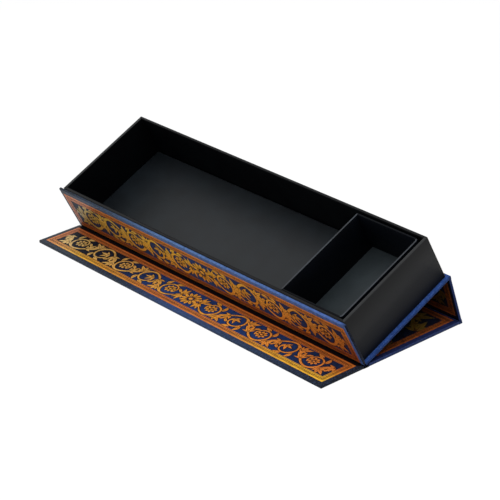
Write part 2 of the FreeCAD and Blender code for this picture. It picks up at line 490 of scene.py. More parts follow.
# What the papers cover: brown gummed stays, speckled board of pulped paper, and bright plated discs
STAY_PAPER = FibrePaper("brown_stay_paper", dark="6f5234", light="8c6c48", roughness=0.7)
GREY_BOARD = FibrePaper("recycled_grey_board", dark="75726c", light="96928a", fibre_mm=0.8, roughness=0.85)
KEEPER_STEEL = PlatedMetal("zinc_plated_steel")
MAGNET_NICKEL = PlatedMetal("nickel_plate", dark="a8a296", light="cfc8ba", roughness=0.22)

# Nearly black papers: painted shade in the stand's groove, and print round the vine and under the border
GROOVE_PAPER = edge_paper("groove_paper_painted_shade", ColourRun.even("060709", "080a10", "08090c"), "10141e")
OUTLINE_INK = edge_paper("black_outline_ink", ColourRun.even("050608", "060810", "06080e"), "0c101c", 0.2)
BORDER_GROUND = edge_paper("dark_print_border", ColourRun.even("0a0b0e", "0c1020", "0a0c14"), "18203a", 0.2)

# The print of each panel: a navy field, and a paler blue, with rubbed light flecks, where it is turned over
# the board
FLAP_PRINT = PrintedPaper(
    "navy_print_flap",
    ink=ColourRun.at((-115, "06080a"), (-60, "0a0e14"), (-20, "183262"), (60, "122a54"), (115, "0c1628")),
)
FLAP_EDGE = edge_paper(
    "slate_print_flap",
    ColourRun.at((-115, "1a1f24"), (-40, "1e2530"), (0, "2c4068"), (40, "26344e"), (115, "161a22")),
    "4a6088",
)
FRONT_PRINT = PrintedPaper("navy_print_front", ink=ColourRun.even("12161c", "1c3c6c", "101830"))
FRONT_EDGE = edge_paper(
    "blue_print_front",
    ColourRun.at((-115, "1c2026"), (-70, "2a3442"), (-30, "4a648e"), (112, "425a92"), (115, "060a18")),
    "5c74a4",
    0.2,
)
# The front's margins: blue print, paler as painted light on a face that leans away from the lamps
FRONT_MARGIN = edge_paper(
    "front_margin_painted_light",
    ColourRun.at((-115, "20262e"), (-70, "3a4a5e"), (-30, "54719e"), (115, "46609a")),
    "7890c4",
    0.3,
)
BASE_PRINT = PrintedPaper("navy_print_base")
BASE_EDGE = edge_paper("royal_print_base", ColourRun.even("20356a", "284480", "284480"), "5c78b8")
# Spine and lid: their navy print and the spine's margin are darkened as painted shade, for the hollow under
# the tray
SPINE_PRINT_SHADED = PrintedPaper("navy_print_spine_painted_shade", ink=ColourRun.even("0c1018", "0a0e1c", "080a14"))
SPINE_EDGE = edge_paper("navy_edge_spine", ColourRun.even("182448", "1e2e60", "1e2e60"), "3c5494")
SPINE_MARGIN_SHADED = edge_paper("spine_margin_painted_shade", ColourRun.even("0a0c10", "0a0d18", "080b16"), "141c38", 0.2)
LID_PRINT_SHADED = PrintedPaper("navy_print_lid_painted_shade", ink=ColourRun.even("0c1018", "0a0e1c", "080a14"))
LID_EDGE = edge_paper("indigo_print_lid", ColourRun.even("1c2648", "2c3a66", "303e6a"), "5064a0")
LID_MARGIN = edge_paper("indigo_margin_lid", ColourRun.even("141a30", "1a2244", "1c2448"), "28346a", 0.2)

# Hot-stamped foils: copper borders and gold vines; darker copies on base, spine and lid are painted shade,
# and the glow along the case's front edge is painted light
# Darker copies of the copper and gold, as painted shade for base, spine and lid
SHADED_COPPER_FOIL = StampedFoil(
    "copper_foil_painted_shade", metal=ColourRun.even("864618", "864618", "9c5220"), shade="401c08", metallic=0.1
)
SHADED_GOLD_FOIL = StampedFoil(
    "gold_foil_painted_shade", metal=ColourRun.even("a08444", "967832", "6a5420"), shade="403010", metallic=0.1
)
# The front's border: the copper darkens towards the groove as painted shade; the glow is its colour towards
# the top edge
COPPER_FOIL = StampedFoil(
    "copper_foil",
    metal=ColourRun.even("a8561f", "b4601f", "a85220"),
    shade="6a300c",
    shade_share=0.4,
    glow=ColourRun.even("c86a2c", "f09838", "e08430"),
    glow_from=-22.0,
    glow_to=-27.0,
)
# The flap's border: its glow towards the front edge is a painted highlight
BRIGHT_FOIL = StampedFoil(
    "bright_foil",
    metal=ColourRun.even("d07438", "e08034", "dc7c30"),
    shade="8a4412",
    shade_share=0.35,
    glow=ColourRun.at(
        (-115, "c06a34"),
        (-85, "f0b83c"),
        (-55, "e8a03c"),
        (-20, "d07838"),
        (40, "e08a40"),
        (80, "ffc03c"),
        (115, "ffc83c"),
    ),
)
GOLD_FOIL = StampedFoil(
    "gold_foil", metal=ColourRun.even("d8b870", "f0a840", "f08a3c"), shade="6a4014", shade_share=0.45
)
# The front's vine: darker towards the groove as painted shade; the glow is its colour towards the top edge
AMBER_FOIL = StampedFoil(
    "amber_foil",
    metal=ColourRun.even("8a7838", "d89a38", "f0a434", "e08c34", "b86424"),
    shade="6a3a0c",
    shade_share=0.35,
    metallic=0.1,
    glow=ColourRun.even("9a8a40", "f0c048", "ffc840", "f8b040", "d07c2c"),
    glow_from=-22.0,
    glow_to=-27.0,
)
VEIN_FOIL = StampedFoil("vein_foil", metal=ColourRun.even("4a3418", "4a2a0c", "4a200a"), shade="2a1406")

PLAIN_NODES: dict[Finish, tuple[str, ...]] = {
    GREY_BOARD: (
        "base_board", "front_board", "spine_board", "lid_board", "flap_board",
        "tray_floor_board", "tray_front_wall", "tray_back_wall", "tray_left_wall", "tray_right_wall",
    ),
    LINING_PAPER: ("base_lining", "spine_lining", "lid_lining", "flap_lining"),
    STAY_PAPER: ("tray_corner_stays",),
    KEEPER_STEEL: ("front_keepers",),
    MAGNET_NICKEL: ("flap_magnets",),
    INSERT_FLOOR: ("insert_floor",),
}


@dataclass(frozen=True)
class Box:
    """A box between two corners, in the axes of whatever measured it."""

    low: Vector
    high: Vector

    @property
    def size(self) -> Vector:
        """The box's three lengths."""
        return self.high - self.low

    @property
    def centre(self) -> Vector:
        """The middle of the box."""
        return (self.low + self.high) / 2


@dataclass(frozen=True)
class PanelFrame:
    """Where a panel lies: its hinge line, seen along the case, and how far it is turned about it."""

    across: float
    height: float
    turn: float

    def matrix(self) -> Matrix:
        """Give the matrix from the panel's own millimetres to the case's metres."""
        place = Matrix.Translation((0.0, self.across * MM, self.height * MM))
        return place @ Matrix.Rotation(self.turn, 4, "X") @ Matrix.Scale(MM, 4)

    def box(self, node: str) -> Box:
        """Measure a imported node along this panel's axes.

        Args:
            node: The node's name.

        Returns:
            Its box, in millimetres.
        """
        inward = self.matrix().inverted()
        points = [inward @ vertex.co for vertex in frame["nodes"][node].data.vertices]
        low = Vector(min(p[i] for p in points) for i in range(3))
        high = Vector(max(p[i] for p in points) for i in range(3))
        return Box(low, high)

    def point(self, x: float, s: float, h: float) -> Vector:
        """Give a point of the panel in the case's metres."""
        return self.matrix() @ Vector((x, s, h))


@dataclass(frozen=True)
class CaseLayout:
    """The frames of the cover's panels as the case stands, from its three paper hinges."""

    base: PanelFrame
    front: PanelFrame
    spine: PanelFrame
    lid: PanelFrame
    flap: PanelFrame
    spine_fold: float
    lid_fold: float

    @classmethod
    def from_joints(cls) -> "CaseLayout":
        """Work the frames out. The lid lies printed side up, and a closed hinge is folded to a right angle.

        Returns:
            The layout at rest.
        """
        joints = {joint["name"]: joint for joint in frame["joints"]}
        hinges = [joints[name] for name in ("base_spine_hinge", "spine_lid_hinge", "lid_flap_hinge")]
        places = [(hinge["pos_m"][1] / MM, hinge["pos_m"][2] / MM) for hinge in hinges]
        spine_fold, lid_fold = (RIGHT_ANGLE - math.radians(hinge["range_deg"][1]) for hinge in hinges[:2])
        lid_turn = -math.pi
        spine_turn = lid_turn - lid_fold
        tilt = spine_turn - spine_fold
        return cls(
            base=PanelFrame(*places[0], tilt),
            front=PanelFrame(*places[0], tilt - RIGHT_ANGLE),
            spine=PanelFrame(*places[0], spine_turn),
            lid=PanelFrame(*places[1], lid_turn),
            flap=PanelFrame(*places[2], lid_turn),
            spine_fold=spine_fold,
            lid_fold=lid_fold,
        )


def add_piece(
    name: str, shape: Shape, place: Matrix, finishes: Sequence[Finish], crisp: float = PAPER_CRISP
) -> bpy.types.Object:
    """Turn a shape, drawn in a panel's own millimetres, into a piece in the case's frame.

    Args:
        name: The piece's name.
        shape: The bmesh, which is used up.
        place: The matrix from the panel's millimetres to the case's metres.
        finishes: The finishes of its material slots, in order.
        crisp: Edges sharper than this many degrees stay crisp.

    Returns:
        The piece, at the origin, with its place in its mesh.
    """
    shape.transform(place)
    mesh = bpy.data.meshes.new(name)
    shape.to_mesh(mesh)
    shape.free()
    for finish in finishes:
        mesh.materials.append(finish.material())
    mesh.shade_smooth()
    mesh.set_sharp_from_angle(angle=math.radians(crisp))
    piece = bpy.data.objects.new(name, mesh)
    bpy.context.scene.collection.objects.link(piece)
    log.info("%s: %d faces", name, len(mesh.polygons))
    return piece


def stand_in(node: str) -> None:
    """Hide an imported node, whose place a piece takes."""
    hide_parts(node)


def box_shape(box: Box) -> Shape:
    """Start a shape from a box, in a panel's millimetres.

    Args:
        box: The box.

    Returns:
        A shape with its six faces.
    """
    shape = bmesh.new()
    spread = Matrix.Translation(box.centre) @ Matrix.Diagonal((*box.size, 1.0))
    bmesh.ops.create_cube(shape, size=1.0, matrix=spread)
    return shape


def face_outwards(shape: Shape) -> None:
    """Turn every face of a closed shape outwards."""
    bmesh.ops.recalc_face_normals(shape, faces=shape.faces[:])


def draw_out(shape: Shape, faces: Sequence[bmesh.types.BMFace], step: Sequence[float]) -> list[Any]:
    """Draw faces of a shape out by a step.

    Args:
        shape: The shape.
        faces: Its faces to draw out.
        step: How far, along its three axes.

    Returns:
        The vertices, edges and faces at the far end.
    """
    made = bmesh.ops.extrude_face_region(shape, geom=list(faces))["geom"]
    corners = [part for part in made if isinstance(part, bmesh.types.BMVert)]
    bmesh.ops.translate(shape, verts=corners, vec=step)
    return made


def round_edges(shape: Shape, edges: Iterable[bmesh.types.BMEdge], radius: float, steps: int = 3) -> None:
    """Round some edges of a shape.

    Args:
        shape: The shape.
        edges: Its edges to round.
        radius: The radius, in the shape's unit.
        steps: How many faces make the rounding.
    """
    bmesh.ops.bevel(
        shape,
        geom=list(edges),
        offset=radius,
        offset_type="OFFSET",
        segments=steps,
        profile=0.5,
        affect="EDGES",
        clamp_overlap=True,
        material=-1,
    )


def thicken(piece: bpy.types.Object, thickness: float, rim_slot: int = 0) -> None:
    """Give a skin its thickness, behind the surface that shows.

    Args:
        piece: The skin.
        thickness: Its thickness in mm.
        rim_slot: How many slots on from its own material the one of its cut edge is.
    """
    solid = piece.modifiers.new("thickness", "SOLIDIFY")
    solid.thickness = thickness * MM
    solid.offset = -1.0
    solid.use_even_offset = True
    solid.material_offset_rim = rim_slot


class LeafProfile(Enum):
    """How a stamped leaf's half width runs along it, as shares of its widest."""

    LEAF = (0.15, 0.85, 1.0, 0.6, 0.04)
    PETAL = (0.2, 0.65, 1.0, 1.05, 0.4)


@dataclass
class Stroke:
    """One stamped stroke: its middle line across a flat field, and its half width at each point."""

    points: list[Vector]
    halves: list[float]
    veined: bool = False

    def mirrored(self) -> "Stroke":
        """Give the stroke reflected end for end."""
        return Stroke([Vector((-p.x, p.y)) for p in self.points], list(self.halves), self.veined)

    def widened(self, extra: float) -> "Stroke":
        """Give the stroke wider by so much on each side."""
        return Stroke(self.points, [half + extra for half in self.halves])

    def vein(self, share: float, taper: float = 0.2) -> "Stroke":
        """Give the vein up the middle of a leaf, which stops short of its tip.

        Args:
            share: The vein's width as a share of the leaf's.
            taper: How much of its width it loses at each point.

        Returns:
            The vein.
        """
        widest = max(self.halves)
        halves = [widest * share * (1.0 - taper * i) for i in range(len(self.points) - 1)]
        return Stroke(self.points[:-1], halves)

    def placed(self, size: float, side: float, middle: float) -> "Stroke":
        """Give the stroke scaled up into its row.

        Args:
            size: Half the row's height.
            side: -1 to turn it upside down, or 1.
            middle: The height of the row's middle line.

        Returns:
            The stroke in the field.
        """
        points = [Vector((p.x * size, middle + side * p.y * size)) for p in self.points]
        return Stroke(points, [half * size for half in self.halves], self.veined)

    def keep_within(self, reach: float) -> None:
        """Push points that leave a row of half height 1 back inside, with room for the stroke's width.

        Args:
            reach: How far the row goes along the case.
        """
        for point, half in zip(self.points, self.halves):
            point.x = min(point.x, reach - half)
            point.y = max(half - 1.0, min(1.0 - half, point.y))


def towards(angle: float) -> Vector:
    """Give the step of length 1 across a flat field in a direction, in radians."""
    return Vector((math.cos(angle), math.sin(angle)))


def swelling(first: float, step: float, steps: int) -> list[float]:
    """Give the shares of a stem that swells by steps from a thin start to its full width."""
    return [min(1.0, first + step * i) for i in range(steps + 1)]


def leaf(
    start: Vector,
    heading: float,
    length: float,
    bend: float,
    half: float,
    profile: LeafProfile = LeafProfile.LEAF,
) -> Stroke:
    """Draw a leaf that leaves a point and bends as it goes.

    Args:
        start: Where it starts.
        heading: Its first direction, in radians.
        length: How long it is.
        bend: How far it turns from end to end, in radians.
        half: Its widest half width.
        profile: How the width runs.

    Returns:
        The stroke.
    """
    steps = len(profile.value) - 1
    points = [start.copy()]
    for i in range(steps):
        angle = heading + bend * (i + 0.5) / steps
        points.append(points[-1] + towards(angle) * (length / steps))
    return Stroke(points, [half * share for share in profile.value], veined=True)


@dataclass(frozen=True)
class Rosette:
    """A flat flower of equal petals round a seed. Sizes are shares of its radius, and of its heart's."""

    petals: int
    heart: float = 0.3
    seed: float = 0.75
    fullness: float = 0.62
    seed_places: tuple[float, ...] = (-1.0, -0.6, 0.6, 1.0)
    seed_halves: tuple[float, ...] = (0.3, 1.1, 1.1, 0.3)

    def strokes(self, centre: Vector, radius: float) -> list[Stroke]:
        """Draw the seed and the petals.

        Args:
            centre: The flower's middle.
            radius: From there to the petals' tips.

        Returns:
            The flower's strokes.
        """
        heart = radius * self.heart
        seed = heart * self.seed
        half = math.pi * radius * self.fullness / self.petals
        across = [centre + Vector((seed, 0.0)) * place for place in self.seed_places]
        drawn = [Stroke(across, [seed * share for share in self.seed_halves])]
        for i in range(self.petals):
            heading = math.tau * (i + 0.5) / self.petals
            start = centre + towards(heading) * heart
            drawn.append(leaf(start, heading, radius - heart, 0.0, half, LeafProfile.PETAL))
        return drawn


@dataclass(frozen=True)
class LeafFan:
    """A fan of leaves that meet at a point, the middle ones longest."""

    half: float
    leaves: int = 4
    shorter: float = 0.9
    slimness: float = 0.17
    bend: float = 0.5

    def strokes(self, root: Vector, heading: float, reach: float, spread: float) -> list[Stroke]:
        """Draw the leaves.

        Args:
            root: Where they meet.
            heading: Which way the fan opens.
            reach: The length of a leaf in its middle.
            spread: The angle between its outer leaves.

        Returns:
            The fan's strokes.
        """
        drawn = []
        for i in range(self.leaves):
            place = i / (self.leaves - 1) - 0.5
            length = reach * (1.0 - self.shorter * abs(place))
            half = min(self.half, length * self.slimness)
            turn = spread * place
            drawn.append(leaf(root, heading + turn, length, turn * self.bend, half))
        return drawn


@dataclass(frozen=True)
class Hollow:
    """A hollow of the vine's wave: its middle, the wave's height, and 1 if the stem runs over it, or -1."""

    centre: Vector
    wave: float
    side: float


@dataclass(frozen=True)
class VineScroll:
    """A running vine: a waved stem, a branch that curls into each hollow, and fans of leaves between them.

    Lengths are shares of half the height of the row that the vine runs in, and angles are radians.
    """

    # Row
    rows: int = 1
    pitch: float = 2.9
    centre_room: float = 1.15
    end_room: float = 0.6
    heart: Rosette = Rosette(12)
    heart_radius: float = 0.82
    heart_fan_turn: float = 1.35
    heart_fan_spread: float = 1.3
    end_fan_spread: float = 2.6
    # Stem
    stem_half: float = 0.09
    stem_start: float = 0.3
    stem_swell: float = 0.2
    stem_steps: int = 8
    # Branch, as it winds into a hollow, and what it ends in
    turns: float = 0.85
    curl_end: float = 0.56
    curl_haste: float = 0.85
    curl_steps: int = 16
    branch_start: float = 0.2
    branch_swell: float = 0.4
    branch_thins: float = 0.35
    flower: Rosette = Rosette(8)
    flower_share: float = 0.9
    curl_fan_reach: float = 1.8
    curl_fan_spread: float = 1.9
    # Leaves along the outside of a branch
    leaf_half: float = 0.22
    leaf_length: float = 1.05
    outer_leaves: int = 4
    first_leaf: float = 0.14
    last_leaf: float = 0.72
    leaf_lean: float = 0.75
    leaf_bend: float = 1.5
    leaf_scale: float = 0.9
    leaf_shrink: float = 0.4
    leaf_root: float = 1.2
    # Fans that fill the corners where the stem crosses to the next hollow
    spray_places: tuple[float, float] = (0.36, 0.64)
    spray_turn: float = 0.62
    spray_reach: float = 1.05
    spray_spread: float = 1.7

    @property
    def fan(self) -> LeafFan:
        """The vine's fan of leaves."""
        return LeafFan(self.leaf_half)

    def strokes(self, length: float, height: float) -> list[Stroke]:
        """Draw the vine in a field, the same both ways from its middle.

        Args:
            length: The field's length, along x.
            height: The field's height.

        Returns:
            Its strokes, about the field's middle.
        """
        drawn: list[Stroke] = []
        half_height = height / self.rows / 2
        for row in range(self.rows):
            middle = (2 * row + 1) * half_height - height / 2
            side = 1.0 if row % 2 == 0 else -1.0
            right = self.half_row(length / 2 / half_height)
            left = [stroke.mirrored() for stroke in right]
            heart = self.heart.strokes(Vector((0.0, 0.0)), self.heart_radius)
            drawn += [stroke.placed(half_height, side, middle) for stroke in right + left + heart]
        return drawn

    def half_row(self, reach: float) -> list[Stroke]:
        """Draw a row of half height 1 from the middle rosette to the right end.

        Args:
            reach: From the field's middle to its end.

        Returns:
            The strokes of that half.
        """
        run = reach - self.centre_room - self.end_room
        hollows = max(2, round(run / self.pitch))
        pitch = run / hollows
        wave = 1.0 - self.stem_half
        strokes = [self.stem(pitch, hollows, wave)]
        for k in range(hollows):
            centre = Vector((self.centre_room + (k + 0.5) * pitch, 0.0))
            flowers = k % 2 == 0
            hollow = Hollow(centre, wave, 1.0 if flowers else -1.0)
            strokes += self.curl(hollow, flowers) + self.sprays(hollow, pitch)
        tip = Vector((self.centre_room + hollows * pitch, 0.0))
        strokes += self.fan.strokes(tip, 0.0, self.end_room, self.end_fan_spread)
        root = Vector((self.centre_room, 0.0))
        for way in (1.0, -1.0):
            heading = way * self.heart_fan_turn
            strokes += self.fan.strokes(root, heading, self.leaf_length, self.heart_fan_spread)
        for stroke in strokes:
            stroke.keep_within(reach)
        return strokes

    def stem(self, pitch: float, hollows: int, wave: float) -> Stroke:
        """Draw the waved stem past all the hollows of a half row, from a thin start at the rosette.

        Args:
            pitch: From one hollow to the next.
            hollows: How many there are.
            wave: The height of the stem's wave.

        Returns:
            The stem.
        """
        steps = hollows * self.stem_steps
        points = []
        for i in range(steps + 1):
            run = hollows * (i / steps)
            points.append(Vector((self.centre_room + pitch * run, wave * math.sin(math.pi * run))))
        widths = swelling(self.stem_start, self.stem_swell, steps)
        return Stroke(points, [self.stem_half * share for share in widths])

    def curl_point(self, hollow: Hollow, share: float) -> Vector:
        """Give a point of a hollow's branch, which starts along the stem and winds inwards.

        Args:
            hollow: The hollow.
            share: How far along the branch the point is, from 0 to 1.

        Returns:
            The point in the row.
        """
        angle = hollow.side * (RIGHT_ANGLE - math.tau * self.turns * share)
        radius = hollow.wave * (1.0 - (1.0 - self.curl_end) * share**self.curl_haste)
        return hollow.centre + towards(angle) * radius

    def curl(self, hollow: Hollow, flowers: bool) -> list[Stroke]:
        """Draw the branch of a hollow and its leaves.

        Args:
            hollow: The hollow.
            flowers: Whether the branch ends in a flower, or else in a fan.

        Returns:
            The branch, its leaves, and what it ends in.
        """
        steps = self.curl_steps
        points = [self.curl_point(hollow, i / steps) for i in range(steps + 1)]
        widths = enumerate(swelling(self.branch_start, self.branch_swell, steps))
        halves = [self.stem_half * share * (1.0 - self.branch_thins * i / steps) for i, share in widths]
        strokes = [Stroke(points, halves), *self.branch_leaves(hollow)]
        if flowers:
            radius = hollow.wave * self.curl_end * self.flower_share
            return strokes + self.flower.strokes(hollow.centre, radius)
        end = points[-1]
        into = hollow.centre - end
        reach = into.length * self.curl_fan_reach
        return strokes + self.fan.strokes(end, math.atan2(into.y, into.x), reach, self.curl_fan_spread)

    def branch_leaves(self, hollow: Hollow) -> list[Stroke]:
        """Draw the leaves along the outside of a hollow's branch, smaller and smaller towards its end.

        Args:
            hollow: The hollow.

        Returns:
            The leaves.
        """
        look_ahead = 0.01
        lean = hollow.side * self.leaf_lean
        leaves = []
        for i in range(self.outer_leaves):
            share = self.first_leaf + (self.last_leaf - self.first_leaf) * i / (self.outer_leaves - 1)
            root = self.curl_point(hollow, share)
            ahead = self.curl_point(hollow, share + look_ahead) - root
            heading = math.atan2(ahead.y, ahead.x) + lean
            scale = self.leaf_scale * (1.0 - self.leaf_shrink * i / self.outer_leaves)
            start = root + towards(heading) * self.stem_half * self.leaf_root
            length = self.leaf_length * scale
            leaves.append(leaf(start, heading, length, -lean * self.leaf_bend, self.leaf_half * scale))
        return leaves

    def sprays(self, hollow: Hollow, pitch: float) -> list[Stroke]:
        """Draw the two fans that fill the corners after a hollow.

        Args:
            hollow: The hollow.
            pitch: From one hollow to the next.

        Returns:
            Both fans.
        """
        strokes = []
        for along, way in zip(self.spray_places, (1.0, -1.0)):
            height = hollow.side * hollow.wave * math.cos(math.pi * along)
            root = hollow.centre + Vector((along * pitch, height))
            heading = RIGHT_ANGLE * way * hollow.side * self.spray_turn + (0.0 if way > 0 else math.pi)
            reach = self.leaf_length * self.spray_reach
            strokes += self.fan.strokes(root, heading, reach, self.spray_spread)
        return strokes


def stroke_shape(strokes: Sequence[Stroke], relief: float) -> Shape:
    """Turn strokes into raised, lens-shaped foil.

    Args:
        strokes: The strokes, in mm, in the plane of x and s.
        relief: Height of a stroke as a share of its half width.

    Returns:
        Their shape, half of it above that plane.
    """
    curve = bpy.data.curves.new("strokes", "CURVE")
    curve.dimensions = "3D"
    curve.twist_mode = "Z_UP"
    curve.bevel_depth = 1.0
    curve.bevel_resolution = 0
    curve.use_fill_caps = True
    for stroke in strokes:
        spline = curve.splines.new("NURBS")
        spline.points.add(len(stroke.points) - 1)
        for point, place, half in zip(spline.points, stroke.points, stroke.halves):
            point.co = (place.x, place.y, 0.0, 1.0)
            point.radius = half
        spline.order_u = 4
        spline.use_endpoint_u = True
        spline.resolution_u = 3
    holder = bpy.data.objects.new("strokes", curve)
    mesh = bpy.data.meshes.new_from_object(holder)
    shape = bmesh.new()
    shape.from_mesh(mesh)
    bpy.data.objects.remove(holder)
    bpy.data.curves.remove(curve)
    bpy.data.meshes.remove(mesh)
    shape.transform(Matrix.Diagonal((1.0, 1.0, relief, 1.0)))
    return shape


@dataclass(frozen=True)
class FoilBorder:
    """A stamped border: a broad band, a row of slanting ticks, and two lines inside it."""

    band: float = 1.2
    gap: float = 0.3
    tick_row: float = 0.75
    line: float = 0.6
    hairline: float = 0.35
    tick_pitch: float = 0.85
    tick_width: float = 0.5
    tick_length: float = 0.7875
    tick_slant: float = math.radians(40)
    sunk: float = 0.02
    relief: float = 0.03

    def bands(self) -> tuple[tuple[float, bool], ...]:
        """Give the width of every ring from the outside in, and whether it is foil."""
        ticks = (2 * self.gap + self.tick_row, False)
        return ((self.band, True), ticks, (self.line, True), (self.gap, False), (self.hairline, True))

    @property
    def width(self) -> float:
        """The border's whole width."""
        return sum(width for width, _ in self.bands())

    def shape(self, outer: Box) -> Shape:
        """Draw the border.

        Args:
            outer: The field inside the margins; its low h is the printed face.

        Returns:
            The border's lines and ticks.
        """
        shape = bmesh.new()
        level = Matrix.Translation((outer.centre.x, outer.centre.y, outer.low.z + self.sunk))
        spread = Matrix.Diagonal((outer.size.x, outer.size.y, 1.0, 1.0))
        bmesh.ops.create_grid(shape, x_segments=1, y_segments=1, size=0.5, matrix=level @ spread)
        middle = shape.faces[:][0]
        rings = []
        for width, foil in self.bands():
            ring = bmesh.ops.inset_region(
                shape, faces=[middle], thickness=width, use_even_offset=True, use_boundary=True
            )["faces"]
            if foil:
                rings += ring
        bmesh.ops.delete(shape, geom=[f for f in shape.faces if f not in rings], context="FACES")
        draw_out(shape, shape.faces, (0.0, 0.0, -self.sunk - self.relief))
        self.add_ticks(shape, outer)
        face_outwards(shape)
        return shape

    def add_ticks(self, shape: Shape, outer: Box) -> None:
        """Add the slanting ticks along all four sides.

        Args:
            shape: The border so far.
            outer: The field inside the margins.
        """
        depth = self.band + self.gap + self.tick_row / 2
        level = outer.low.z - (self.relief - self.sunk) / 2
        middle = Matrix.Translation((outer.centre.x, outer.centre.y, level))
        slanted = Matrix.Diagonal((self.tick_width, self.tick_length, self.sunk + self.relief, 1.0))
        lean = Matrix.Identity(4)
        lean[0][1] = math.tan(self.tick_slant)
        slanted = lean @ slanted
        half = outer.size / 2
        for turn, reach, off in ((0.0, half.x, half.y), (RIGHT_ANGLE, half.y, half.x)):
            run = 2 * (reach - depth)
            count = int(run / self.tick_pitch)
            for way in (0.0, math.pi):
                side = middle @ Matrix.Rotation(turn + way, 4, "Z")
                for i in range(count + 1):
                    place = Matrix.Translation(((i / count - 0.5) * run, off - depth, 0.0))
                    bmesh.ops.create_cube(shape, size=1.0, matrix=side @ place @ slanted)


class PanelEdge(Enum):
    """How a long edge of a panel goes on."""

    FREE = "turned over the board"
    STRIP = "runs on into a flat hinge"
    CREASE = "runs on into a creased hinge"


class Side(Enum):
    """A long side of a panel."""

    LOW = -1.0
    HIGH = 1.0


class WrapSlot(IntEnum):
    """The parts of a wrap that have a paper of their own."""

    FIELD = 0
    EDGE = 1
    MARGIN = 2
    # Painted shade where the wrap sits in the groove
    GROOVE = 3
    GROUND = 4


